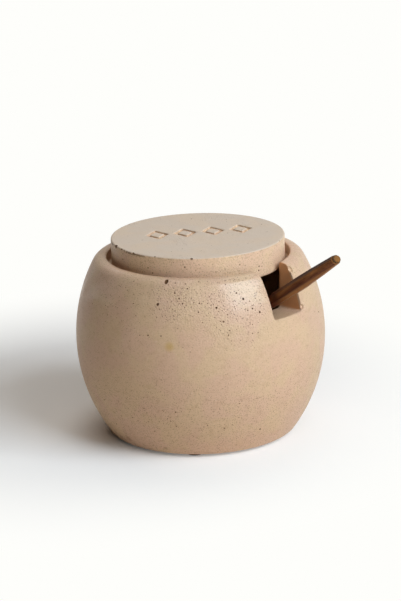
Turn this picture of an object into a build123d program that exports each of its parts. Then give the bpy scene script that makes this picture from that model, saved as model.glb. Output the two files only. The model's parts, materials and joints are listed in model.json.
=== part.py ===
"""Salt pot: a cast concrete pot with a sunk loose lid, a notch for a wooden spoon, and three foot pads.

Millimetres. The origin is on the table under the middle of the pot, +Z is up and +X points out through the notch.
"""
import os
from math import asin, atan2, cos, degrees, pi, radians, sin, sqrt, tan

from build123d import *

os.makedirs("parts", exist_ok=True)

# Pot, outside
pot_radius = 52.5          # widest part of the belly
belly_height = 40.3        # from the pot's base up to the widest part
side_arc_radius = 68.8     # the belly's curve from foot to rim
pot_height = 75.6          # base to rim
foot_round = 1.4
shoulder_round = 5.0       # outer edge of the rim

# Pot, inside
rim_width = 4.5            # wall at the rim, before its edges are rounded
lip_round = 0.7            # inner edge of the rim
cavity_draft = 1.0         # degrees, so that the casting leaves its core
floor_thickness = 15.0
cavity_corner_round = 8.0

# Lid and the seat that carries it
lid_gap = 2.0              # all round, between the lid and the wall
lid_thickness = 12.0
lid_sink = 4.7             # from the rim down to the seat
lid_top_round = 0.35
lid_bottom_round = 0.9
seat_overlap = 2.2         # how far the seat reaches in under the lid
seat_edge = 2.0            # height of the seat's inner edge
seat_slope = 45.0          # degrees, the underside back to the wall
seat_root = 1.0            # how deep the seat is cast into the wall
seat_stop_angle = 28.0     # degrees either side of the notch, where the seat stops

# Notch for the spoon
notch_width = 17.0
notch_floor_height = 57.2  # above the pot's base, at the outside of the wall
notch_floor_fall = 0.8     # how much lower the floor is at the inside
notch_corner_round = 1.0

# Spoon
spoon_length = 126.5
rest_gap = 0.3             # over the notch's floor and over the cavity's floor
tip_wall_gap = 2.5         # from the bowl's tip round to the far wall of the cavity
neck_width = 4.8
neck_thickness = 4.4
handle_width = 6.6
handle_thickness = 5.5
handle_swell = 9.0         # from the notch's inner edge out to the full handle
handle_taper = 22.0        # length of the thinner end
handle_end_width = 4.6
handle_end_thickness = 3.7
handle_end_lift = 0.5      # the end thins from below, so its middle lies higher
handle_end_round = 1.3
bowl_length = 34.0
bowl_width = 15.4
bowl_height = 5.0          # underside to rim
bowl_depth = 3.6           # of the hollow
bowl_rim_width = 1.1
bowl_tip_round = 9.0       # the underside's curve up to the tip
bowl_stations = 5          # sections either side of the bowl's middle
bowl_tip_angle = 84.0      # degrees round the bowl's oval from its middle to the last section

# Foot pads
pad_count = 3
pad_radius = 4.0
pad_thickness = 1.2
pad_inset = 1.0            # from the flat base's edge in to the pad
pad_first_angle = -53.0    # degrees from the notch
pad_edge_round = 0.25

# Heights above the table
base_z = pad_thickness
rim_z = base_z + pot_height
belly_z = base_z + belly_height
cavity_floor_z = base_z + floor_thickness
seat_z = rim_z - lid_sink
notch_outer_z = base_z + notch_floor_height
notch_inner_z = notch_outer_z - notch_floor_fall

# The side arc's centre, and the radii where it meets the base and the rim
side_arc_x = pot_radius - side_arc_radius
foot_radius = side_arc_x + sqrt(side_arc_radius**2 - belly_height**2)
rim_radius = side_arc_x + sqrt(side_arc_radius**2 - (pot_height - belly_height) ** 2)
mouth_radius = rim_radius - rim_width
lid_radius = mouth_radius - lid_gap


def wall_radius(z):
    """Radius of the drafted inner wall at a height above the table."""
    return mouth_radius - (rim_z - z) * tan(radians(cavity_draft))


# The notch, as the block that the maker sets into the mould: its floor falls towards the cavity
notch_inner_x = wall_radius(notch_inner_z)
floor_slope = notch_floor_fall / (pot_radius - notch_inner_x)
block_inner_x = notch_inner_x / 2
block_outer_x = pot_radius * 1.2
block_top_z = rim_z + lid_thickness

with BuildPart() as notch_block:
    with BuildSketch(Plane.XZ):
        with BuildLine():
            Polyline(
                (block_inner_x, notch_inner_z - (notch_inner_x - block_inner_x) * floor_slope),
                (block_outer_x, notch_outer_z + (block_outer_x - pot_radius) * floor_slope),
                (block_outer_x, block_top_z),
                (block_inner_x, block_top_z),
                close=True,
            )
        make_face()
    extrude(amount=notch_width / 2, both=True)
    block_floor = notch_block.faces().sort_by(Axis.Z)[0]
    fillet(block_floor.edges().filter_by(Axis.Y, reverse=True), notch_corner_round)

# The pot: one section turned about Z, then its seat is added and the notch taken out
seat_inner_radius = lid_radius - seat_overlap
seat_root_radius = wall_radius(seat_z) + seat_root
seat_drop = (seat_root_radius - seat_inner_radius) * tan(radians(seat_slope))
stop = radians(seat_stop_angle)
seat_plane = Plane(origin=(0, 0, 0), x_dir=(cos(stop), sin(stop), 0), z_dir=(sin(stop), -cos(stop), 0))

with BuildPart() as pot:
    with BuildSketch(Plane.XZ) as section:
        with BuildLine():
            Polyline((0, cavity_floor_z), (0, base_z), (foot_radius, base_z))
            ThreePointArc((foot_radius, base_z), (pot_radius, belly_z), (rim_radius, rim_z))
            Polyline(
                (rim_radius, rim_z),
                (mouth_radius, rim_z),
                (wall_radius(cavity_floor_z), cavity_floor_z),
                (0, cavity_floor_z),
            )
        make_face()
        for place, size in (
            ((foot_radius, base_z), foot_round),
            ((rim_radius, rim_z), shoulder_round),
            ((mouth_radius, rim_z), lip_round),
            ((wall_radius(cavity_floor_z), cavity_floor_z), cavity_corner_round),
        ):
            fillet(section.vertices().sort_by_distance((*place, 0))[0], size)
    revolve(axis=Axis.Z)
    with BuildSketch(seat_plane):
        with BuildLine():
            Polyline(
                (seat_inner_radius, seat_z),
                (seat_root_radius, seat_z),
                (seat_root_radius, seat_z - seat_edge - seat_drop),
                (seat_inner_radius, seat_z - seat_edge),
                close=True,
            )
        make_face()
    revolve(axis=Axis.Z, revolution_arc=360 - 2 * seat_stop_angle)
    add(notch_block.part, mode=Mode.SUBTRACT)
pot.part.label = "pot"
export_step(pot.part, "parts/pot.step")

# The lid: a plain thick disc that lies on the seat
with BuildPart() as lid:
    with BuildSketch(Plane.XY.offset(seat_z)):
        Circle(lid_radius)
    extrude(amount=lid_thickness)
    fillet(lid.edges().group_by(Axis.Z)[-1], lid_top_round)
    fillet(lid.edges().group_by(Axis.Z)[0], lid_bottom_round)
lid.part.label = "lid"
export_step(lid.part, "parts/lid.step")

# The spoon leans on the notch's inner edge, and the round under its tip stands on the cavity's floor by
# the far wall. Its straight underside touches both, less the rest gap, and that settles the tilt.
notch_edge = Vector(notch_inner_x, 0, notch_inner_z)
tip_round_x = tip_wall_gap + bowl_tip_round - wall_radius(cavity_floor_z)
tip_round_middle = Vector(tip_round_x, 0, cavity_floor_z + rest_gap + bowl_tip_round)
lean = notch_edge - tip_round_middle
tilt = atan2(lean.Z, lean.X) + asin((bowl_tip_round + rest_gap) / lean.length)

# The spoon's own frame: x runs out along the handle, z is square to it, and the origin is where the
# neck lies over the inner edge of the notch's floor
spoon_x = Vector(cos(tilt), 0, sin(tilt))
spoon_z = Vector(-sin(tilt), 0, cos(tilt))
neck_place = notch_edge + spoon_z * (rest_gap + neck_thickness / 2)
spoon_plane = Plane(origin=neck_place, x_dir=spoon_x, z_dir=spoon_z)
underside = -neck_thickness / 2
bowl_rim = underside + bowl_height

# Places along the spoon, from the round under the tip
tip_arc_x = (tip_round_middle - neck_place).dot(spoon_x)
tip_x = tip_arc_x - sqrt(bowl_tip_round**2 - (bowl_tip_round - bowl_height) ** 2)
handle_end_x = tip_x + spoon_length
bowl_middle_x = tip_x + bowl_length / 2
bowl_start_x = tip_x + bowl_length


def bowl_section(x):
    """Width, thickness and middle height of the uncut bowl's oval section at x, in the spoon's frame."""
    along = (x - bowl_middle_x) / (bowl_length / 2)
    if along > 0:
        swell = (1 + cos(pi * along)) / 2
        width = neck_width + (bowl_width - neck_width) * swell
        middle = bowl_rim * swell
        return width, 2 * (middle - underside), middle
    width = bowl_width * sqrt(1 - along**2)
    rise = max(tip_arc_x - x, 0)
    bottom = underside + bowl_tip_round - sqrt(bowl_tip_round**2 - rise**2)
    return width, 2 * (bowl_rim - bottom), bowl_rim


# Sections from the bowl's tip to the end of the handle: place, width, thickness, height of the middle
bowl_places = []
for k in range(bowl_stations, 0, -1):
    bowl_places.append(bowl_middle_x - bowl_length / 2 * sin(radians(bowl_tip_angle * k / bowl_stations)))
for k in range(bowl_stations):
    bowl_places.append(bowl_middle_x + bowl_length / 2 * k / bowl_stations)
sections = [(x, *bowl_section(x)) for x in bowl_places]
sections += [
    (bowl_start_x, neck_width, neck_thickness, 0),
    (bowl_start_x / 2, neck_width, neck_thickness, 0),
    (0, neck_width, neck_thickness, 0),
    (handle_swell, handle_width, handle_thickness, 0),
    (handle_end_x - handle_taper, handle_width, handle_thickness, 0),
]
for turn in (0, 30, 60, 90):
    inset = 2 * handle_end_round * (1 - cos(radians(turn)))
    place = handle_end_x - handle_end_round * (1 - sin(radians(turn)))
    sections.append((place, handle_end_width - inset, handle_end_thickness - inset, handle_end_lift))

# The hollow is part of an oval of revolution that leaves the rim's width all round
hollow_half_width = bowl_width / 2 - bowl_rim_width
hollow_half_length = bowl_length / 2 - 2 * bowl_rim_width
hollow_radius = (hollow_half_width**2 + bowl_depth**2) / (2 * bowl_depth)
hollow_half_axis = hollow_half_length * hollow_radius / hollow_half_width
hollow_middle = spoon_plane.from_local_coords((bowl_middle_x, 0, bowl_rim + hollow_radius - bowl_depth))
hollow_plane = Plane(origin=hollow_middle, x_dir=spoon_x, z_dir=(0, -1, 0))
rim_middle = spoon_plane.from_local_coords((bowl_middle_x, 0, bowl_rim))

with BuildPart() as spoon:
    for x, width, thickness, middle in sections:
        place = spoon_plane.from_local_coords((x, 0, middle))
        with BuildSketch(Plane(origin=place, x_dir=(0, 1, 0), z_dir=spoon_x)):
            Ellipse(width / 2, thickness / 2)
    loft()
    with BuildSketch(Plane(origin=rim_middle, x_dir=spoon_x, z_dir=spoon_z)):
        Rectangle(bowl_length + bowl_width, bowl_width * 2)
    extrude(amount=bowl_width, mode=Mode.SUBTRACT)
    with BuildSketch(hollow_plane):
        Ellipse(hollow_half_axis, hollow_radius)
        Rectangle(2 * hollow_half_axis, hollow_radius, align=(Align.CENTER, Align.MIN), mode=Mode.INTERSECT)
    revolve(axis=Axis(hollow_middle, spoon_x), mode=Mode.SUBTRACT)
spoon.part.label = "spoon"
export_step(spoon.part, "parts/spoon.step")

# Foot pads, stuck on the flat of the base
pad_circle_radius = foot_radius - foot_round - pad_inset - pad_radius

with BuildPart() as foot_pads:
    with BuildSketch():
        with PolarLocations(pad_circle_radius, pad_count, start_angle=pad_first_angle):
            Circle(pad_radius)
    extrude(amount=pad_thickness)
    fillet(foot_pads.edges().group_by(Axis.Z)[0], pad_edge_round)
foot_pads.part.label = "foot_pads"
export_step(foot_pads.part, "parts/foot_pads.step")

print(f"spoon: {handle_end_x:.2f} mm stands out past the notch's inner edge, tip at {tip_x:.2f}")
print(f"spoon: tilt {degrees(tilt):.2f} degrees, slide axis {spoon_x.X:.5f}, 0, {spoon_x.Z:.5f}")
print(f"radii: foot {foot_radius:.2f}, rim {rim_radius:.2f}, mouth {mouth_radius:.2f}, lid {lid_radius:.2f}")
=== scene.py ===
"""A salt pot of cast concrete, with a loose lid, a carved wooden spoon and rubber foot pads.

Lengths are named in millimetres, and MM turns them into metres where they meet Blender.
"""
import json
import random
from math import atan2, cos, degrees, pi, radians, sin, sqrt, tan

import bpy
from mathutils import Euler, Matrix, Vector


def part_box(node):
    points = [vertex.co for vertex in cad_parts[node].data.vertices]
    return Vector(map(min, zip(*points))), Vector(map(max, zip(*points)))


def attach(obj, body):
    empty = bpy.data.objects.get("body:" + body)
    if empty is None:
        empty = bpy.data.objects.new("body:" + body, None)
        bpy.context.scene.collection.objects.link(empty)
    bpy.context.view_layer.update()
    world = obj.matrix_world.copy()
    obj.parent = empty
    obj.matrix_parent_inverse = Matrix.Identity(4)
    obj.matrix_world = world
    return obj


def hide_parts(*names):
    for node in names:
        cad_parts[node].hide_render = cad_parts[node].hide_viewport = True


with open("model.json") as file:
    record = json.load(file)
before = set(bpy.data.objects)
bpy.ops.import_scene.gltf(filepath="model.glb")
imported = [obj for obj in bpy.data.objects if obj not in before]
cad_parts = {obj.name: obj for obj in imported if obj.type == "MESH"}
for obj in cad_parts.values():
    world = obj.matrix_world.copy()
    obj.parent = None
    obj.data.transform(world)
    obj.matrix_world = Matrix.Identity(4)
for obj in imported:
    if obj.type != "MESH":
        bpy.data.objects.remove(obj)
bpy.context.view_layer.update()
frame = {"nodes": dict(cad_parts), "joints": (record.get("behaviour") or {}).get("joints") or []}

MM = 0.001

# The pot's section, as its mould gives it
base_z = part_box("pot")[0].z / MM
rim_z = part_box("pot")[1].z / MM
pot_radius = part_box("pot")[1].y / MM
belly_height = 40.3
belly_z = base_z + belly_height
side_arc_radius = 68.8
side_arc_x = pot_radius - side_arc_radius
foot_round = 1.4
shoulder_round = 5.0
rim_width = 4.5
lip_round = 0.7
cavity_draft = radians(1)
floor_thickness = 15
cavity_floor_z = base_z + floor_thickness
cavity_corner_round = 8.0
rim_radius = side_arc_x + sqrt(side_arc_radius**2 - (rim_z - belly_z) ** 2)
mouth_radius = rim_radius - rim_width

# The lid, and the seat that it lies on
seat_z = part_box("lid")[0].z / MM
lid_top_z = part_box("lid")[1].z / MM
lid_gap = 2
lid_radius = mouth_radius - lid_gap
lid_top_round = 0.35
lid_bottom_round = 0.9
seat_overlap = 2.2
seat_inner_radius = lid_radius - seat_overlap
seat_edge = 2.0
seat_root = 1
seat_stop = radians(28)

# The notch
notch_width = 17.0
notch_inner_z = base_z + 56.4
notch_outer_z = base_z + 57.2
notch_corner_round = 1.0

# The spoon, along its own axis from where the neck crosses the notch's inner edge. The cuts that shape the
# handle leave flats, which lie at a share of the oval's width and slip a little from section to section
spoon_axis = next(joint["axis"] for joint in frame["joints"] if joint["name"] == "spoon_slide")
spoon_tilt = atan2(spoon_axis[2], spoon_axis[0])
neck_place = Vector((36.50, 0, 59.67))
handle_end = 47.62
bowl_tip = -78.71
bowl_length = 34.0
bowl_width = 15.4
bowl_height = 5.0
bowl_depth = 3.6
bowl_rim_width = 1.1
neck_width = 4.8
neck_thickness = 4.4
handle_width = 6.6
handle_thickness = 5.5
handle_end_round = 1.3
bowl_tip_round = 9.0
tip_arc_x = bowl_tip + sqrt(bowl_tip_round**2 - (bowl_tip_round - bowl_height) ** 2)
facets = 8
facet_angle = 2 * pi / facets
flat_share = 0.965
knife_slip = 0.02
# The neck's end and the handle: place, width, thickness and middle height
handle_sections = [
    (-6, neck_width, neck_thickness, 0),
    (0, neck_width, neck_thickness, 0),
    (4.5, 5.8, 5.0, 0),
    (9, handle_width, handle_thickness, 0),
    (17, handle_width, handle_thickness, 0),
    (handle_end - 22, handle_width - 0.1, handle_thickness, 0),
    (handle_end - 12, 5.9, 4.9, 0.15),
]
handle_end_width = 4.8
handle_end_thickness = 3.9
handle_end_lift = 0.3

# How finely the surfaces are remade, so that their edges come out softened as a cast or carved edge is
pot_grain = 0.36
lid_grain = 0.27
spoon_grain = 0.16
# How many triangles are left of each remade surface, and how many steps a turned one is spun in
pot_triangles = 150000
lid_triangles = 110000
spoon_triangles = 60000
turn_steps = 200
seat_steps = 150

# Heights between which the concrete's sand thins out above the foot, those between which it comes back at
# the shoulder, and those between which the pinholes begin
foot_sand = (22, 46)
shoulder_sand = (66, 73)
pinhole_start = (40, 58)


# Finishes

def tone(red, green, blue):
    """A colour as a screen shows it, 0 to 255, turned into light."""
    return tuple(((c / 255 + 0.055) / 1.055) ** 2.4 for c in (red, green, blue)) + (1,)


class Flow:
    """What runs between nodes: a number, a colour or a vector. Arithmetic on numbers adds Math nodes."""

    def __init__(self, bench, socket):
        self.bench = bench
        self.socket = socket

    def maths(self, operation, *terms):
        return self.bench.node("ShaderNodeMath", {"operation": operation}, dict(enumerate(terms)))

    def __add__(self, other):
        return self.maths("ADD", self, other)

    def __sub__(self, other):
        return self.maths("SUBTRACT", self, other)

    def __rsub__(self, other):
        return self.maths("SUBTRACT", other, self)

    def __mul__(self, other):
        return self.maths("MULTIPLY", self, other)

    __radd__ = __add__
    __rmul__ = __mul__


class Bench:
    """Where a material's nodes are laid out and joined."""

    def __init__(self, owner):
        owner.use_nodes = True
        self.tree = owner.node_tree
        self.tree.nodes.clear()

    def node(self, kind, settings=None, inputs=None, out=0):
        """Adds a node, makes its settings, and joins or sets its inputs."""
        made = self.tree.nodes.new(kind)
        for name, value in (settings or {}).items():
            if name == "stops":
                while len(made.color_ramp.elements) < len(value):
                    made.color_ramp.elements.new(0.5)
                for element, (place, colour) in zip(made.color_ramp.elements, value):
                    element.position = place
                    element.color = colour
            else:
                setattr(made, name, value)
        for name, value in (inputs or {}).items():
            if isinstance(value, Flow):
                self.tree.links.new(value.socket, made.inputs[name])
            else:
                made.inputs[name].default_value = value
        return Flow(self, made.outputs[out]) if made.outputs else None

    def place(self, start=(0, 0, 0), turn=(0, 0, 0)):
        """Millimetres from a starting point, along axes that may be turned."""
        point = self.node("ShaderNodeTexCoord", out="Object")
        inputs = {"Vector": point, "Location": start, "Rotation": turn, "Scale": (MM, MM, MM)}
        return self.node("ShaderNodeMapping", {"vector_type": "TEXTURE"}, inputs)

    def stretch(self, place, factors):
        return self.node("ShaderNodeVectorMath", {"operation": "MULTIPLY"}, {0: place, 1: factors})

    def part(self, place, axis):
        return self.node("ShaderNodeSeparateXYZ", None, {0: place}, out=axis)

    def cloud(self, place, size, detail=2.0, rough=0.5, warp=0.0):
        """Soft noise from 0 to 1 with patches of about a size in millimetres."""
        inputs = {"Vector": place, "Scale": 1 / size, "Detail": detail}
        inputs.update({"Roughness": rough, "Distortion": warp})
        return self.node("ShaderNodeTexNoise", None, inputs)

    def ease(self, value, low, high):
        """0 below one value, 1 above the other and smooth between."""
        settings = {"interpolation_type": "SMOOTHSTEP"}
        inputs = {"Value": value, "From Min": low, "From Max": high}
        return self.node("ShaderNodeMapRange", settings, inputs)

    def near(self, place, point, inner, outer):
        """1 near a point and 0 away from it."""
        ends = {0: place, 1: point}
        away = self.node("ShaderNodeVectorMath", {"operation": "DISTANCE"}, ends, out="Value")
        return 1 - self.ease(away, inner, outer)

    def dots(self, place, spacing, half_width, share):
        """Small round dots, in a share of the cells of a random layout."""
        inputs = {"Vector": place, "Scale": 1 / spacing}
        away = self.node("ShaderNodeTexVoronoi", None, inputs, out="Distance")
        pick_one = self.part(self.node("ShaderNodeTexVoronoi", None, inputs, out="Color"), 0)
        edge = half_width / spacing
        chosen = 1 - self.ease(pick_one, share - 0.01, share)
        return (1 - self.ease(away, edge * 0.6, edge)) * chosen

    def blend(self, amount, under, over, kind="MIX"):
        settings = {"data_type": "RGBA", "blend_type": kind, "clamp_factor": True}
        return self.node("ShaderNodeMix", settings, {0: amount, 6: under, 7: over}, out=2)

    def bump(self, height, depth, normal=None):
        """A relief from 0 to 1 that stands a depth in millimetres."""
        inputs = {"Height": height, "Distance": depth * MM, "Strength": 1.0}
        if normal:
            inputs["Normal"] = normal
        return self.node("ShaderNodeBump", None, inputs)

    def surface(self, **inputs):
        """The shader itself, and the material's output."""
        names = {name.replace("_", " "): value for name, value in inputs.items()}
        shader = self.node("ShaderNodeBsdfPrincipled", None, names)
        self.node("ShaderNodeOutputMaterial", None, {"Surface": shader})


def new_material(name):
    material = bpy.data.materials.new(name)
    return material, Bench(material)


def give(thing, material):
    """Gives a piece one material all over."""
    thing.data.materials.clear()
    thing.data.materials.append(material)


# Tones in the concrete
dark_sand = tone(112, 84, 60)
pale_sand = tone(226, 206, 180)
# Painted shade in the breaks of the lid's crumbled upper edge
frayed_shade_tone = tone(96, 68, 44)
# Grey of the lid's worn top: partly wear and dust, partly painted sheen
worn_and_sheen_tone = tone(210, 195, 178)
# Warm painted shade for the notch's walls, standing in for light bounced inside the notch
notch_shade_tone = tone(210, 156, 112)
speck_tone = tone(104, 76, 54)
# Dark of the fine pinholes: partly dust, partly painted shade inside them
pinhole_dust_and_shade_tone = tone(96, 66, 46)


def concrete(
    name, face, blush, shade, stains=(), crowds=(), worn_and_sheen_above=None, frayed_shade_place=None, notch_shade=None
):
    """Smooth cast concrete: cloudy in large patches, sandy close to, with pinholes where air gathered.

    Stains are a point, an inner and an outer reach, an amount and a colour. Crowds of pinholes are a point
    and two reaches. Above a height the face is worn and greyer, the grey partly wear and partly painted
    sheen, and its edge is frayed, with painted shade darkening its breaks most of all near a place. The
    notch shade mask shows where a warm painted shade stands in for light bounced inside the notch.
    """
    material, bench = new_material(name)
    place = bench.place()
    height = bench.part(place, 2)
    patches = bench.ease(bench.cloud(place, 12, 2, 0.5, 0.4), 0.38, 0.62)
    colour = bench.blend(patches, face, blush)
    mottle = bench.cloud(bench.stretch(place, (0.7, 0.7, 1.2)), 2.6, 4, 0.65)
    colour = bench.blend(bench.ease(mottle, 0.45, 0.8) * 0.17, colour, shade, "MULTIPLY")
    low = 1 - bench.ease(height, *foot_sand)
    high = bench.ease(height, *shoulder_sand)
    sand = bench.cloud(place, 0.46, 2, 0.7)
    grains = bench.ease(sand, 0.53, 0.7)
    colour = bench.blend(grains * (low * 0.36 + high * 0.22 + 0.34), colour, dark_sand)
    pale = bench.ease(bench.cloud(place, 0.7, 2, 0.6), 0.58, 0.76)
    colour = bench.blend(pale * 0.3, colour, pale_sand)
    if worn_and_sheen_above:
        # A dark broken band just under the top edge: a crumbled edge with painted shade in its breaks,
        # strongest near a place
        frays = bench.ease(bench.cloud(bench.stretch(place, (1, 1, 0.6)), 1.3, 2), 0.46, 0.58)
        below_top = 1 - bench.ease(height, worn_and_sheen_above - 0.3, worn_and_sheen_above)
        edge = bench.ease(height, worn_and_sheen_above - 1.1, worn_and_sheen_above - 0.7) * below_top
        frayed_shade = bench.near(place, frayed_shade_place, 7, 20) * 0.6 + 0.15
        colour = bench.blend(frays * edge * frayed_shade, colour, frayed_shade_tone)
        # The top turns rougher and greyer: partly wear and dust, partly painted sheen of the bright room on
        # the level face
        worn_and_sheen = bench.ease(height, worn_and_sheen_above - 0.4, worn_and_sheen_above) * (0.7 + 0.2 * patches)
        colour = bench.blend(worn_and_sheen, colour, worn_and_sheen_tone)
    # Warm painted shade on the notch's walls, standing in for light bounced inside the notch
    if notch_shade:
        colour = bench.blend(notch_shade(bench, place), colour, notch_shade_tone)
    for point, inner, outer, amount, stain in stains:
        colour = bench.blend(bench.near(place, point, inner, outer) * amount, colour, stain)
    specks = bench.dots(place, 2.5, 0.3, 0.1)
    speck_amount = 0.35 if worn_and_sheen_above else 0.7
    colour = bench.blend(specks * speck_amount, colour, speck_tone)
    gather = bench.ease(bench.cloud(place, 17, 1), 0.56, 0.7) * bench.ease(height, *pinhole_start) * 0.6
    for point, inner, outer in crowds:
        gather = gather.maths("MAXIMUM", gather, bench.near(place, point, inner, outer))
    # Pinholes as dents, their dark colour partly dust and partly painted shade inside them
    holes = bench.dots(place, 1.05, 0.26, 0.42) * gather
    colour = bench.blend(holes * 0.75, colour, pinhole_dust_and_shade_tone)
    roughness = 0.42 + 0.1 * mottle + 0.14 * grains
    sealer = 0.1 + 0.55 * gather
    if worn_and_sheen_above:
        roughness = roughness + 0.22 * worn_and_sheen
        sealer = sealer * (1 - worn_and_sheen)
    dents = bench.cloud(place, 0.7, 1) * (gather * 0.85 + 0.15)
    relief = bench.bump(sand, 0.07)
    relief = bench.bump(mottle, 0.05, relief)
    relief = bench.bump(dents, 0.42, relief)
    relief = bench.bump(1 - holes, 0.3, relief)
    finish = {"Specular_IOR_Level": 0.18, "Coat_Weight": sealer, "Coat_Roughness": 0.24}
    bench.surface(Base_Color=colour, Roughness=roughness, Normal=relief, **finish)
    return material


def pit_lining_and_shade():
    """Raw concrete inside bubbles and chips, rougher than the sealed face, and darker: partly dust, partly
    painted shade.
    """
    material, bench = new_material("pit_lining_and_shade")
    crumbs = bench.cloud(bench.place(), 0.3, 2)
    colour = bench.blend(crumbs, tone(74, 48, 30), tone(130, 96, 66))
    relief = bench.bump(crumbs, 0.05)
    bench.surface(Base_Color=colour, Roughness=0.85, Specular_IOR_Level=0.2, Normal=relief)
    return material


def notch_walls(bench, place):
    """1 on the notch's two side walls, where a warm painted shade stands in for light bounced between them.
    """
    across = bench.part(place, 1)
    off = across.maths("ABSOLUTE", across)
    wall = notch_width / 2
    band = bench.ease(off, wall - 0.8, wall - 0.15) * (1 - bench.ease(off, wall + 0.1, wall + 0.4))
    out = bench.part(place, 0)
    height = bench.part(place, 2)
    rise = height - belly_z
    # The wall's outer edge falls back with the belly's curve, by so much for each square millimetre of rise
    fall = 0.0075
    under_edge = 1 - bench.ease(out + rise * rise * fall, 50.2, 50.9)
    return band * under_edge * bench.ease(out, 28, 30) * bench.ease(height, 57.6, 58.8)


def carved_wood():
    """Oiled wood: dark streaks along the spoon and golden end grain, with painted light and shade on the
    handle.
    """
    material, bench = new_material("carved_wood")
    place = bench.place(neck_place * MM, (0, -spoon_tilt, 0))
    along = bench.part(place, 0)
    up = bench.part(place, 2)
    rings = bench.cloud(bench.stretch(place, (0.045, 0.34, 0.42)), 1.0, 3, 0.55, 0.6)
    stops = [
        (0.32, tone(62, 32, 19)),
        (0.44, tone(98, 55, 31)),
        (0.56, tone(122, 77, 44)),
        (0.72, tone(158, 107, 62)),
    ]
    colour = bench.node("ShaderNodeValToRGB", {"stops": stops}, {"Fac": rings})
    fibres = bench.cloud(bench.stretch(place, (0.12, 2.6, 2.6)), 1.0, 3, 0.6)
    colour = bench.blend(bench.ease(fibres, 0.5, 0.72) * 0.34, colour, tone(66, 36, 20))
    # Paler underside of the handle as painted bounce light, fine pores, a darker top as painted shade, and
    # a darker, redder neck with a dark spot, both painted shade
    painted_underside_light = (1 - bench.ease(up, -1.9, -1.1)) * bench.ease(along, 4, 18)
    colour = bench.blend(painted_underside_light * 0.42, colour, tone(166, 116, 66))
    pores = bench.dots(bench.stretch(place, (0.22, 1.6, 1.6)), 0.8, 0.2, 0.3)
    colour = bench.blend(pores * 0.6, colour, tone(46, 26, 16))
    # Darker top of the handle, deepening towards its end: painted shade
    painted_top_shade = bench.ease(up, 0.5, 1.8) * (0.6 + 0.3 * bench.ease(along, 15, 27))
    colour = bench.blend(painted_top_shade, colour, tone(54, 28, 18))
    # A darker, redder neck: painted shade where it lies in the notch
    colour = bench.blend((1 - bench.ease(along, 7, 12)) * 0.6, colour, tone(92, 44, 28))
    # A dark spot painted as a shadow on the handle near the notch's outer edge
    painted_shadow_spot = bench.near(place, (10.5, -2.6, 0.6), 0.4, 3.2)
    colour = bench.blend(painted_shadow_spot * 0.7, colour, tone(50, 24, 18))
    # The cut end: a pale line painted as a highlight on its bevel, then the end grain inside a darker rim
    # painted as shade on its rounded edge
    bevel = bench.ease(along, 46.0, 46.3)
    colour = bench.blend(bevel * 0.6, colour, tone(164, 114, 64))
    end_grain = bench.ease(along, 46.6, 46.9)
    rim = bench.stretch(place, (0, 1, 1.2))
    inside = bench.near(rim, (0, 0, 0.3), 1.4, 2.1)
    colour = bench.blend(end_grain, colour, bench.blend(inside, tone(74, 52, 32), tone(130, 88, 44)))
    roughness = 0.46 + 0.2 * fibres
    relief = bench.bump(fibres, 0.05)
    bench.surface(Base_Color=colour, Roughness=roughness, Specular_IOR_Level=0.12, Normal=relief)
    return material


def pad_rubber():
    """Dull dark rubber with a fine moulded grain."""
    material, bench = new_material("pad_rubber")
    place = bench.place()
    grain = bench.cloud(place, 0.35, 2)
    dust = bench.ease(bench.cloud(place, 1.8, 3), 0.5, 0.75)
    colour = bench.blend(dust * 0.5, tone(52, 34, 26), tone(92, 68, 54))
    bench.surface(Base_Color=colour, Roughness=0.72 + 0.15 * grain, Normal=bench.bump(grain, 0.04))
    return material


# Modelling

def pick(thing):
    """Makes one object the only selected one."""
    bpy.ops.object.select_all(action="DESELECT")
    thing.select_set(True)
    bpy.context.view_layer.objects.active = thing
    return thing


def settle(thing):
    """Moves an object's place, turn and size into its mesh."""
    pick(thing)
    bpy.ops.object.transform_apply(location=True, rotation=True, scale=True)
    return thing


def finish_with(thing, kind, **settings):
    """Adds a modifier and applies it."""
    pick(thing)
    modifier = thing.modifiers.new(kind.title(), kind)
    for name, value in settings.items():
        setattr(modifier, name, value)
    bpy.ops.object.modifier_apply(modifier=modifier.name)
    return thing


def cut_away(thing, tool):
    """Takes a tool's shape out of an object, leaves its finish in the cut, and throws the tool away."""
    settings = {"operation": "DIFFERENCE", "solver": "EXACT", "material_mode": "TRANSFER"}
    finish_with(thing, "BOOLEAN", object=tool, **settings)
    bpy.data.objects.remove(tool)
    return thing


def add_to(thing, other):
    """Makes one solid of two objects."""
    finish_with(thing, "BOOLEAN", operation="UNION", solver="EXACT", object=other)
    bpy.data.objects.remove(other)
    return thing


def joined(things):
    """Joins loose tools into one object."""
    pick(things[0])
    for thing in things:
        thing.select_set(True)
    bpy.ops.object.join()
    return bpy.context.object


def remade(thing, grain, triangles):
    """Remakes a surface as an even skin, which softens its edges, and thins it where it is flat."""
    finish_with(thing, "REMESH", mode="VOXEL", voxel_size=grain * MM, adaptivity=0)
    finish_with(thing, "SMOOTH", factor=0.5, iterations=6)
    faces = 2 * len(thing.data.polygons)
    if faces > triangles:
        finish_with(thing, "DECIMATE", ratio=triangles / faces)
    return thing


def smoothed(thing, angle=38):
    """Shades a finished mesh smooth, apart from its sharp edges."""
    pick(thing)
    bpy.ops.object.shade_smooth_by_angle(angle=radians(angle))
    return finish_with(thing, "WEIGHTED_NORMAL", mode="FACE_AREA", weight=60, keep_sharp=True)


def start_wire(name, place):
    """A new object of one point, open for editing."""
    bpy.ops.object.select_all(action="DESELECT")
    bpy.ops.mesh.primitive_plane_add(location=[MM * c for c in place])
    thing = settle(bpy.context.object)
    thing.name = name
    bpy.ops.object.mode_set(mode="EDIT")
    bpy.ops.mesh.select_all(action="SELECT")
    bpy.ops.mesh.merge(type="CENTER")
    return thing


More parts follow.
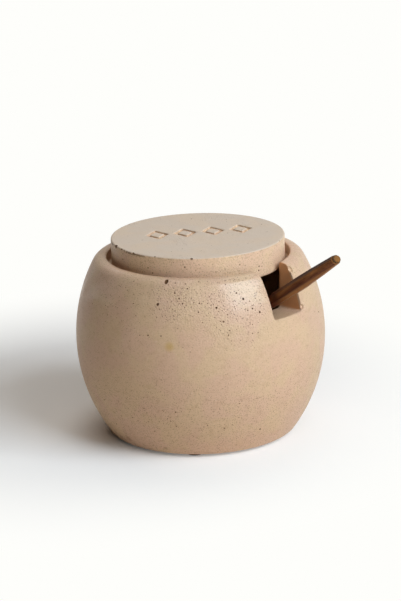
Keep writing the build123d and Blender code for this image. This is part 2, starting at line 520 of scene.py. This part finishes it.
def turned(name, section, steps, start=0.0, sweep=2 * pi, closed=False):
    """A section of (radius, height) points, drawn by extruding one point and spun about the pot's axis.

    The spin runs clockwise, seen from above.
    """
    thing = start_wire(name, (section[0][0], 0, section[0][1]))
    for (radius, height), (next_radius, next_height) in zip(section, section[1:]):
        step = ((next_radius - radius) * MM, 0, (next_height - height) * MM)
        bpy.ops.mesh.extrude_region_move(TRANSFORM_OT_translate={"value": step})
    bpy.ops.mesh.select_all(action="SELECT")
    if closed:
        bpy.ops.mesh.edge_face_add()
        bpy.ops.mesh.delete(type="ONLY_FACE")
        bpy.ops.mesh.select_all(action="SELECT")
    bpy.ops.mesh.spin(steps=steps, angle=sweep, center=(0, 0, 0), axis=(0, 0, 1))
    bpy.ops.mesh.select_all(action="SELECT")
    bpy.ops.mesh.remove_doubles(threshold=0.001 * MM)
    bpy.ops.mesh.select_all(action="DESELECT")
    bpy.ops.mesh.select_non_manifold(extend=False)
    if closed:
        bpy.ops.mesh.edge_face_add()
        bpy.ops.mesh.fill_holes(sides=0)
    bpy.ops.mesh.select_all(action="SELECT")
    bpy.ops.mesh.normals_make_consistent(inside=False)
    bpy.ops.object.mode_set(mode="OBJECT")
    thing.rotation_euler.z = start
    return settle(thing)


def arc(middle, radius, start, end, steps):
    """Points of a round corner in a section, from one direction in degrees to another."""
    points = []
    for k in range(steps + 1):
        angle = radians(start + (end - start) * k / steps)
        points.append((middle[0] + radius * cos(angle), middle[1] + radius * sin(angle)))
    return points


def wall_radius(z):
    """Radius of the drafted inner wall at a height."""
    return mouth_radius - (rim_z - z) * tan(cavity_draft)


def side_corner(z, size):
    """Middle of a round from the belly's curve into a level face, and the direction where it starts."""
    x = side_arc_x + sqrt((side_arc_radius - size) ** 2 - (z - belly_z) ** 2)
    return (x, z), degrees(atan2(z - belly_z, x - side_arc_x))


def outer_place(azimuth, z, depth=0.0):
    """A point on the pot's outside, or a little under it, at an azimuth in degrees and a height."""
    shoulder, direction = side_corner(rim_z - shoulder_round, shoulder_round)
    rise = z - shoulder[1]
    if rise > shoulder_round * sin(radians(direction)):
        middle, size = shoulder, shoulder_round
    else:
        middle, size = (side_arc_x, belly_z), side_arc_radius
    radius = middle[0] + sqrt(size**2 - (z - middle[1]) ** 2)
    out = Vector((radius - middle[0], 0, z - middle[1])).normalized()
    place = Vector((radius, 0, z)) - out * depth
    return Matrix.Rotation(radians(azimuth), 3, "Z") @ place


def spread(dice, count, area, taken, apart=0.35):
    """Random places for bubbles in a window of azimuth and height, each clear of those already taken."""
    places = []
    (from_azimuth, to_azimuth), (low, high), (smallest, largest) = area
    for _ in range(count):
        azimuth = dice.triangular(from_azimuth, to_azimuth)
        z = dice.triangular(low, high)
        size = smallest + (largest - smallest) * dice.random() ** 3
        middle = outer_place(azimuth, z)
        if all((middle - place).length > size + other + apart for place, other in taken):
            taken.append((middle, size))
            places.append((azimuth, z, size))
    return places


def cut_balls(thing, balls, lining, fine=1):
    """Cuts small uneven balls out of a face. Each is a place, half widths and a turn. None may touch."""
    bpy.ops.object.select_all(action="DESELECT")
    bpy.ops.mesh.primitive_ico_sphere_add(subdivisions=1, radius=MM, location=(0, 0, -1))
    tool = settle(bpy.context.object)
    bpy.ops.object.mode_set(mode="EDIT")
    for place, half_widths, turn in balls:
        bpy.ops.mesh.primitive_ico_sphere_add(
            subdivisions=fine, radius=MM, location=place * MM, scale=half_widths, rotation=turn
        )
    bpy.ops.object.mode_set(mode="OBJECT")
    give(tool, lining)
    return cut_away(thing, tool)


# The pot

def pot_section():
    """The outside from the middle of the base up to the rim, and the inside down to the cavity's floor."""
    foot, foot_direction = side_corner(base_z + foot_round, foot_round)
    shoulder, shoulder_direction = side_corner(rim_z - shoulder_round, shoulder_round)
    section = [(0, base_z)]
    section += arc(foot, foot_round, -90, foot_direction, 4)
    belly = (side_arc_x, belly_z)
    belly_steps = 44
    section += arc(belly, side_arc_radius, foot_direction, shoulder_direction, belly_steps)[1:]
    section += arc(shoulder, shoulder_round, shoulder_direction, 90, 7)[1:]
    section += arc((mouth_radius + lip_round, rim_z - lip_round), lip_round, 90, 180, 3)
    wall_steps = 24
    corner_z = cavity_floor_z + cavity_corner_round
    for k in range(1, wall_steps):
        z = rim_z - lip_round + (corner_z - rim_z + lip_round) * k / wall_steps
        section.append((wall_radius(z), z))
    corner_middle = (wall_radius(corner_z) - cavity_corner_round, corner_z)
    section += arc(corner_middle, cavity_corner_round, 0, -90, 8)
    section.append((0, cavity_floor_z))
    return section


def notch_block():
    """The block that keeps the notch open in the mould, its floor falling a little towards the cavity."""
    inner, outer = wall_radius(notch_inner_z), pot_radius
    slope = (notch_outer_z - notch_inner_z) / (outer - inner)
    reach = 12
    bpy.ops.object.select_all(action="DESELECT")
    bpy.ops.mesh.primitive_cube_add(size=2)
    block = bpy.context.object
    bpy.ops.object.mode_set(mode="EDIT")
    bpy.ops.mesh.select_all(action="DESELECT")
    bpy.ops.object.mode_set(mode="OBJECT")
    for corner in block.data.vertices:
        x = outer + reach if corner.co.x > 0 else inner - reach
        y = notch_width / 2 if corner.co.y > 0 else -notch_width / 2
        z = lid_top_z + reach if corner.co.z > 0 else notch_outer_z + (x - outer) * slope
        corner.co = (x * MM, y * MM, z * MM)
    for edge in block.data.edges:
        ends = [block.data.vertices[k].co for k in edge.vertices]
        low = all(end.z < lid_top_z * MM for end in ends)
        edge.select = low and abs(ends[0].x - ends[1].x) > MM
    bpy.ops.object.mode_set(mode="EDIT")
    bpy.ops.mesh.select_mode(type="EDGE")
    bpy.ops.mesh.bevel(offset=notch_corner_round * MM, segments=4)
    bpy.ops.mesh.select_mode(type="VERT")
    bpy.ops.object.mode_set(mode="OBJECT")
    return block


# Bubbles in the pot's face that show in the photograph: azimuth, height, half width
face_bubbles = [
    (-67.0, 67.7, 0.75),
    (-38.4, 66.5, 0.5), (-24.5, 68.7, 0.62), (-17.2, 62.8, 0.48), (-35.5, 61.1, 0.42), (-27.5, 71.2, 0.42),
    (-56.5, 70.2, 0.4), (-54.8, 68.4, 0.38), (-52.4, 73.8, 0.36), (-46.5, 68.5, 0.36), (-58.8, 72.2, 0.34),
    (-64.4, 55.8, 0.36), (-70.7, 55.6, 0.34), (-74.8, 55.3, 0.3), (-59.1, 23.5, 0.38), (-16.0, 11.6, 0.42),
    (-36.1, 15.1, 0.36), (-98.2, 11.7, 0.32), (-96.0, 63.5, 0.28), (-22.4, 55.2, 0.3), (-19.6, 55.0, 0.3),
    (-33.0, 57.4, 0.34), (-20.6, 64.6, 0.38), (-23.2, 64.2, 0.34), (-33.8, 55.6, 0.3), (-53.6, 75.5, 0.3),
    (-46.4, 76.1, 0.28), (-83.2, 75.0, 0.3), (-59.1, 75.7, 0.3),
]
# The long bubble at the rim, and those at the notch's edge: place, half widths and turn
long_bubble = (outer_place(-64.1, 76.0, 0.3), (0.85, 0.85, 1.35), (0, radians(-50), radians(-64.1)))
edge_bubbles = [
    (Vector((43.0, 9.3, 74.6)), (1.15, 1.05, 1.7), (0, radians(-34), 0)),
    (Vector((49.1, 8.95, 59.8)), (0.85, 0.8, 1.15), (0, radians(-12), 0)),
]
# How deep the middle of a bubble lies under the face, as a share of its half width
bubble_sink = 0.25
# Where fine bubbles crowd: azimuths, heights and half widths, and how many are tried
fine_bubbles = [
    (150, ((-52, -11), (56, 75), (0.15, 0.3))),
    (80, ((-75, -38), (60, 75), (0.14, 0.28))),
    (60, ((-118, -66), (56, 75), (0.14, 0.26))),
    (40, ((-110, -12), (6, 30), (0.16, 0.28))),
    (50, ((20, 110), (50, 74), (0.18, 0.5))),
    (50, ((110, 240), (38, 74), (0.18, 0.6))),
    (40, ((15, 245), (6, 45), (0.17, 0.4))),
]


def pot_bubbles():
    """All the bubbles that are cut into the finished face, with none touching another."""
    dice = random.Random(5)
    taken = []
    for azimuth, z, size in face_bubbles:
        taken.append((outer_place(azimuth, z), size))
    fine = []
    for count, area in fine_bubbles:
        fine += spread(dice, count, area, taken)
    balls = []
    for azimuth, z, size in face_bubbles + fine:
        stretch = [size * dice.uniform(0.85, 1.2) for _ in range(3)]
        turn = [dice.uniform(0, pi) for _ in range(3)]
        balls.append((outer_place(azimuth, z, bubble_sink * size), stretch, turn))
    return balls


def make_pot(face, lining):
    """A turned casting with its seat, its notch and softened edges, and bubbles cut into its face."""
    pot = turned("pot_casting", pot_section(), turn_steps)
    root = wall_radius(seat_z) + seat_root
    drop = root - seat_inner_radius
    seat_section = [
        (seat_inner_radius, seat_z),
        (root, seat_z),
        (root, seat_z - seat_edge - drop),
        (seat_inner_radius, seat_z - seat_edge),
    ]
    seat = turned("seat", seat_section, seat_steps, -seat_stop, 2 * pi - 2 * seat_stop, closed=True)
    add_to(pot, seat)
    cut_away(pot, notch_block())
    remade(pot, pot_grain, pot_triangles)
    give(pot, face)
    cut_balls(pot, edge_bubbles, face, fine=2)
    cut_balls(pot, [long_bubble], lining, fine=2)
    cut_balls(pot, pot_bubbles(), lining)
    return smoothed(pot)


pot_concrete = concrete(
    "pot_concrete", tone(207, 178, 145), tone(207, 174, 147), tone(176, 138, 104),
    stains=[
        (outer_place(-60.5, 51.7), 0.4, 2.8, 0.62, tone(192, 156, 90)),
        (outer_place(-94.3, 5.1), 0.6, 2.4, 0.45, tone(120, 76, 50)),
        (outer_place(-68.7, 4.2), 0.3, 1.4, 0.35, tone(110, 80, 60)),
    ],
    crowds=[(outer_place(-27, 66), 9, 24), (outer_place(-58, 70), 6, 15), (outer_place(150, 62), 8, 22)],
    notch_shade=notch_walls,
)
lining = pit_lining_and_shade()
pot = make_pot(pot_concrete, lining)
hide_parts("pot")
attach(pot, "pot")


# The lid

# Chips along the lid's upper edge: azimuth, and half widths along the edge, inwards and down
edge_chips = [
    (-114.8, (1.3, 1.1, 1.5)), (-110.2, (0.5, 0.45, 0.5)), (-105.9, (0.9, 0.65, 0.8)),
    (-102.9, (0.6, 0.5, 0.7)), (-99.6, (0.45, 0.4, 0.55)), (-96.4, (0.5, 0.4, 0.6)),
    (-92.9, (1.0, 0.6, 0.7)), (-89.0, (0.45, 0.4, 0.5)), (-75.3, (0.85, 0.55, 0.6)),
    (-71.0, (0.45, 0.35, 0.45)), (-63.0, (0.45, 0.35, 0.45)), (-50.7, (0.75, 0.7, 0.85)),
    (-30.0, (0.5, 0.4, 0.45)), (-12.0, (0.4, 0.35, 0.4)), (22.0, (0.7, 0.5, 0.6)),
    (57.0, (1.1, 0.7, 0.8)), (61.0, (0.4, 0.3, 0.3)), (98.0, (0.5, 0.35, 0.35)),
    (131.0, (0.7, 0.45, 0.5)), (136.5, (0.4, 0.3, 0.3)), (168.0, (0.5, 0.35, 0.4)),
    (205.0, (0.8, 0.5, 0.5)), (222.0, (0.4, 0.3, 0.3)),
]
# How many fine bubbles are tried in the lid's side and in its top, and how big they are
side_bubbles = 120
top_bubbles = 50
smallest_bubble = 0.15
bubble_growth = 0.22
# The row of lozenges stamped in the lid
stamp_count = 4
stamp_pitch = 11.8
stamp_half_width = 4.9
stamp_half_height = 7.0
stamp_stroke = 1.5
stamp_depth = 1.0
stamp_middle = (-3.0, 4.0)
stamp_direction = 53.0


def lozenge_stamp():
    """The stamp's raised lines: a row of hollow lozenges with straight sides."""
    lozenges = []
    for k in range(stamp_count):
        bpy.ops.object.select_all(action="DESELECT")
        bpy.ops.mesh.primitive_circle_add(vertices=4, radius=MM, fill_type="NGON")
        lozenge = bpy.context.object
        lozenge.scale = (stamp_half_width, stamp_half_height, 1)
        settle(lozenge)
        bpy.ops.object.mode_set(mode="EDIT")
        bpy.ops.mesh.select_all(action="SELECT")
        bpy.ops.mesh.inset(thickness=stamp_stroke * MM, depth=0)
        bpy.ops.mesh.delete(type="FACE")
        bpy.ops.mesh.select_all(action="SELECT")
        bpy.ops.mesh.extrude_region_move(TRANSFORM_OT_translate={"value": (0, 0, 2 * stamp_depth * MM)})
        bpy.ops.mesh.select_all(action="SELECT")
        bpy.ops.mesh.normals_make_consistent(inside=False)
        bpy.ops.object.mode_set(mode="OBJECT")
        lozenge.location = ((k - (stamp_count - 1) / 2) * stamp_pitch * MM, 0, 0)
        lozenges.append(settle(lozenge))
    stamp = joined(lozenges)
    stamp.rotation_euler = (0, 0, radians(stamp_direction))
    stamp.location = (stamp_middle[0] * MM, stamp_middle[1] * MM, (lid_top_z - stamp_depth) * MM)
    return settle(stamp)


def lid_edge(azimuth):
    """A point of the lid's upper edge, at an azimuth in radians."""
    return Vector((lid_radius * cos(azimuth), lid_radius * sin(azimuth), lid_top_z))


def lid_chips():
    """Balls that break the lid's upper edge."""
    dice = random.Random(3)
    chips = []
    for azimuth, half_widths in edge_chips:
        out = Matrix.Rotation(radians(azimuth), 3, "Z") @ Vector((lid_radius + 0.1, 0, lid_top_z + 0.1))
        along, inward, down = half_widths
        chips.append((out, (inward, along, down), (dice.uniform(-0.2, 0.2), 0, radians(azimuth))))
    return chips


def lid_bubbles():
    """Fine bubbles in the lid's side and a few in its top."""
    dice = random.Random(8)
    chip_room = 1.2
    apart = 0.35
    taken = [(lid_edge(radians(azimuth)), chip_room) for azimuth, _ in edge_chips]
    balls = []
    for k in range(side_bubbles + top_bubbles):
        size = smallest_bubble + bubble_growth * dice.random() ** 3
        azimuth = dice.uniform(-pi, pi)
        if k < side_bubbles:
            place = lid_edge(azimuth)
            place.z = dice.uniform(seat_z + 1.5, lid_top_z - 0.8)
        else:
            reach = (lid_radius - 1.5) * sqrt(dice.random())
            place = Vector((reach * cos(azimuth), reach * sin(azimuth), lid_top_z))
            size *= 0.8
        if all((place - other).length > size + room + apart for other, room in taken):
            taken.append((place, size))
            stretch = [size * dice.uniform(0.85, 1.2) for _ in range(3)]
            balls.append((place, stretch, (0, 0, 0)))
    return balls


def make_lid(face, lining):
    """A turned disc with its stamped row and softened edges, and chips and bubbles cut into it."""
    bottom = (lid_radius - lid_bottom_round, seat_z + lid_bottom_round)
    top = (lid_radius - lid_top_round, lid_top_z - lid_top_round)
    section = [(0, seat_z)]
    section += arc(bottom, lid_bottom_round, -90, 0, 4)
    section += arc(top, lid_top_round, 0, 90, 3)
    section.append((0, lid_top_z))
    lid = turned("lid_casting", section, turn_steps)
    cut_away(lid, lozenge_stamp())
    remade(lid, lid_grain, lid_triangles)
    give(lid, face)
    cut_balls(lid, lid_chips(), lining)
    cut_balls(lid, lid_bubbles(), lining)
    return smoothed(lid)


# The lid's concrete is lighter than the pot's: painted light that makes up for the light its side gets
lid_concrete = concrete(
    "lid_concrete", tone(222, 192, 157), tone(220, 187, 158), tone(184, 148, 114),
    crowds=[(Vector((31, -14, 76)), 4, 12)],
    worn_and_sheen_above=lid_top_z - 0.1,
    frayed_shade_place=lid_edge(radians(-105)),
)
lid = make_lid(lid_concrete, lining)
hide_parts("lid")
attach(lid, "lid")


# The spoon

def bowl_section(x):
    """Width, thickness and middle height of the uncut bowl's oval section, along the spoon."""
    middle = bowl_tip + bowl_length / 2
    underside = -neck_thickness / 2
    rim = underside + bowl_height
    along = (x - middle) / (bowl_length / 2)
    if along > 0:
        swell = (1 + cos(pi * along)) / 2
        width = neck_width + (bowl_width - neck_width) * swell
        return width, 2 * (rim * swell - underside), rim * swell
    width = bowl_width * sqrt(1 - along**2)
    rise = max(tip_arc_x - x, 0)
    bottom = underside + bowl_tip_round - sqrt(bowl_tip_round**2 - rise**2)
    return width, 2 * (rim - bottom), rim


def spoon_sections():
    """Sections from tip to end: place, width, thickness, middle height and how far they are cut flat."""
    middle = bowl_tip + bowl_length / 2
    tip_turns = (84, 76, 67, 57, 46, 35, 23, 11, 0)
    neck_steps = 8
    places = [middle - bowl_length / 2 * sin(radians(turn)) for turn in tip_turns]
    places += [middle + bowl_length / 2 * k / neck_steps for k in range(1, neck_steps)]
    sections = [(x, *bowl_section(x), 0) for x in places]
    neck_end = bowl_tip + bowl_length
    sections += [
        (neck_end, neck_width, neck_thickness, 0, 0.3),
        (neck_end / 2, neck_width, neck_thickness, 0, 0.8),
    ]
    sections += [(*section, 1) for section in handle_sections]
    for turn in (0, 30, 60, 90):
        inset = 2 * handle_end_round * (1 - cos(radians(turn)))
        place = handle_end - handle_end_round * (1 - sin(radians(turn)))
        cut = 1 - turn / 120
        size = (handle_end_width - inset, handle_end_thickness - inset)
        sections.append((place, *size, handle_end_lift, cut))
    return sections


def make_spoon():
    """A blank drawn out section by section, cut level over the bowl, hollowed, and laid in the notch."""
    knife = random.Random(11)
    points = 32
    sections = spoon_sections()
    bpy.ops.object.select_all(action="DESELECT")
    end_on = (0, pi / 2, 0)
    bpy.ops.mesh.primitive_circle_add(vertices=points, radius=MM, fill_type="NGON", rotation=end_on)
    spoon = settle(bpy.context.object)
    spoon.name = "spoon_carving"
    bpy.ops.object.mode_set(mode="EDIT")
    bpy.ops.mesh.select_all(action="SELECT")
    for section, following in zip(sections, sections[1:]):
        step = ((following[0] - section[0]) * MM, 0, 0)
        bpy.ops.mesh.extrude_region_move(TRANSFORM_OT_translate={"value": step})
    bpy.ops.mesh.select_all(action="SELECT")
    bpy.ops.mesh.normals_make_consistent(inside=False)
    bpy.ops.object.mode_set(mode="OBJECT")
    for k, corner in enumerate(spoon.data.vertices):
        x, width, thickness, middle, cut = sections[k // points]
        if k % points == 0:
            slips = [knife.uniform(-knife_slip, knife_slip) * cut for _ in range(facets)]
        direction = atan2(corner.co.z, corner.co.y) % (2 * pi)
        across = (direction + facet_angle / 2) % facet_angle - facet_angle / 2
        facet = int((direction + facet_angle / 2) // facet_angle) % facets
        reach = 1 + cut * (flat_share / cos(across) - 1 + slips[facet])
        y = width / 2 * cos(direction) * reach
        z = middle + thickness / 2 * sin(direction) * reach
        corner.co = (x * MM, y * MM, z * MM)

    middle = bowl_tip + bowl_length / 2
    rim = bowl_height - neck_thickness / 2
    bpy.ops.object.select_all(action="DESELECT")
    bpy.ops.mesh.primitive_cube_add(size=2 * bowl_width * MM)
    level = bpy.context.object
    level.scale = (1.6, 1, 1)
    level.location = (middle * MM, 0, (rim + bowl_width) * MM)
    cut_away(spoon, settle(level))
    half_width = bowl_width / 2 - bowl_rim_width
    half_length = bowl_length / 2 - 2 * bowl_rim_width
    radius = (half_width**2 + bowl_depth**2) / (2 * bowl_depth)
    bpy.ops.object.select_all(action="DESELECT")
    bpy.ops.mesh.primitive_uv_sphere_add(segments=64, ring_count=32, radius=radius * MM)
    gouge = bpy.context.object
    gouge.scale = (half_length / half_width, 1, 1)
    gouge.location = (middle * MM, 0, (rim + radius - bowl_depth) * MM)
    cut_away(spoon, settle(gouge))

    remade(spoon, spoon_grain, spoon_triangles)
    spoon.location = neck_place * MM
    spoon.rotation_euler = (0, -spoon_tilt, 0)
    return smoothed(settle(spoon), angle=50)


spoon = make_spoon()
give(spoon, carved_wood())
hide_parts("spoon")
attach(spoon, "spoon")


# The foot pads keep their solid and get their finish

give(frame["nodes"]["foot_pads"], pad_rubber())


# Lights, floor and camera

# What the camera and the lamps are aimed at, the photograph's view, and its lens in millimetres
aim = Vector((0, 0, 43.2 * MM))
view_azimuth = radians(-46.3)
view_elevation = radians(17.63)
view_distance = 0.9
view_roll = radians(-1.81)
view_lift = radians(0.742)
lens_length = 127.65

# Colours of the stage. The paper throws warmer light on the pot than it shows
paper_colour = tone(252, 252, 251)
bounce_colour = tone(253, 243, 231)
background_colour = tone(254, 254, 251)
fill_colour = (1, 0.93, 0.85, 1)
fill_strength = 0.005
# Where the paper fades into white, in millimetres from a point in the shadow, and a faint painted glow
# round the pot that lightens its cast shadow
fade_middle = (-58.5, 0, 0)
fade_start = 47
fade_end = 171
shadow_lift_start = 44
shadow_lift_end = 64
shadow_lift_amount = 0.13


def set_camera():
    """The photograph's view: from the front, left of the notch and a little above, through a long lens."""
    level = cos(view_elevation)
    back = Vector((cos(view_azimuth) * level, sin(view_azimuth) * level, sin(view_elevation)))
    camera = bpy.data.objects.new("camera", bpy.data.cameras.new("camera"))
    bpy.context.scene.collection.objects.link(camera)
    camera.data.lens = lens_length
    camera.data.clip_start = 0.01
    camera.location = aim + back * view_distance
    look = (-back).to_track_quat("-Z", "Y")
    camera.rotation_mode = "QUATERNION"
    roll = Euler((0, 0, view_roll)).to_quaternion()
    lift = Euler((view_lift, 0, 0)).to_quaternion()
    camera.rotation_quaternion = look @ roll @ lift
    bpy.context.scene.camera = camera


def add_light(name, azimuth, elevation, distance, size, power, colour):
    """A soft square lamp that faces the pot from a direction."""
    lamp = bpy.data.lights.new(name, "AREA")
    lamp.shape = "RECTANGLE"
    lamp.size, lamp.size_y = size
    lamp.energy = power
    lamp.color = colour
    holder = bpy.data.objects.new(name, lamp)
    bpy.context.scene.collection.objects.link(holder)
    azimuth, elevation = radians(azimuth), radians(elevation)
    out = Vector((cos(azimuth) * cos(elevation), sin(azimuth) * cos(elevation), sin(elevation)))
    holder.location = aim + out * distance
    holder.rotation_mode = "QUATERNION"
    holder.rotation_quaternion = out.to_track_quat("Z", "Y")
    return holder


set_camera()
add_light(
    "window", azimuth=5, elevation=37, distance=1.0,
    size=(0.66, 0.6), power=9.7, colour=(0.905, 1, 1.1),
)
add_light(
    "front_wall", azimuth=-34, elevation=42, distance=1.2,
    size=(0.9, 0.9), power=2.4, colour=(1, 0.92, 0.83),
)
add_light(
    "back_wall", azimuth=135, elevation=52, distance=1.2,
    size=(1.0, 1.0), power=4.5, colour=(1, 0.9, 0.8),
)


def seen(bench):
    """1 for what the camera, a reflection or a clear material sees, 0 for light that falls on things."""
    kinds = ("Is Camera Ray", "Is Glossy Ray", "Is Transmission Ray")
    camera, glossy, clear = [bench.node("ShaderNodeLightPath", out=kind) for kind in kinds]
    return camera.maths("MINIMUM", camera + glossy + clear, 1.0)


def paper():
    """White paper under the pot that fades into an even white background, with a painted glow lightening
    the pot's shadow.
    """
    material, bench = new_material("white_paper")
    place = bench.place()
    level = bench.stretch(place, (1, 1, 0))
    far = 1 - bench.near(level, fade_middle, fade_start, fade_end)
    # A faint white glow from a little way out round the pot: painted light that lightens its cast shadow
    shadow_lift = (1 - bench.near(level, (0, 0, 0), shadow_lift_start, shadow_lift_end)) * shadow_lift_amount
    far = far.maths("MAXIMUM", far, shadow_lift)
    direct = bench.node("ShaderNodeBsdfDiffuse", None, {"Color": paper_colour})
    bounced = bench.node("ShaderNodeBsdfDiffuse", None, {"Color": bounce_colour})
    sheet = bench.node("ShaderNodeMixShader", None, {0: seen(bench), 1: bounced, 2: direct})
    glow = bench.node("ShaderNodeEmission", None, {"Color": background_colour, "Strength": 1.0})
    mixed = bench.node("ShaderNodeMixShader", None, {0: far * seen(bench), 1: sheet, 2: glow})
    bench.node("ShaderNodeOutputMaterial", None, {"Surface": mixed})
    return material


def room():
    """Even white to look at, and a weak, warm fill light from all sides."""
    world = bpy.data.worlds.new("room")
    bpy.context.scene.world = world
    bench = Bench(world)
    white = bench.node("ShaderNodeBackground", None, {"Color": background_colour, "Strength": 1.0})
    fill = bench.node("ShaderNodeBackground", None, {"Color": fill_colour, "Strength": fill_strength})
    mixed = bench.node("ShaderNodeMixShader", None, {0: seen(bench), 1: fill, 2: white})
    bench.node("ShaderNodeOutputWorld", None, {"Surface": mixed})


bpy.ops.object.select_all(action="DESELECT")
bpy.ops.mesh.primitive_plane_add(size=12)
floor = settle(bpy.context.object)
floor.name = "floor"
give(floor, paper())
room()
bpy.context.scene.view_settings.view_transform = "Standard"
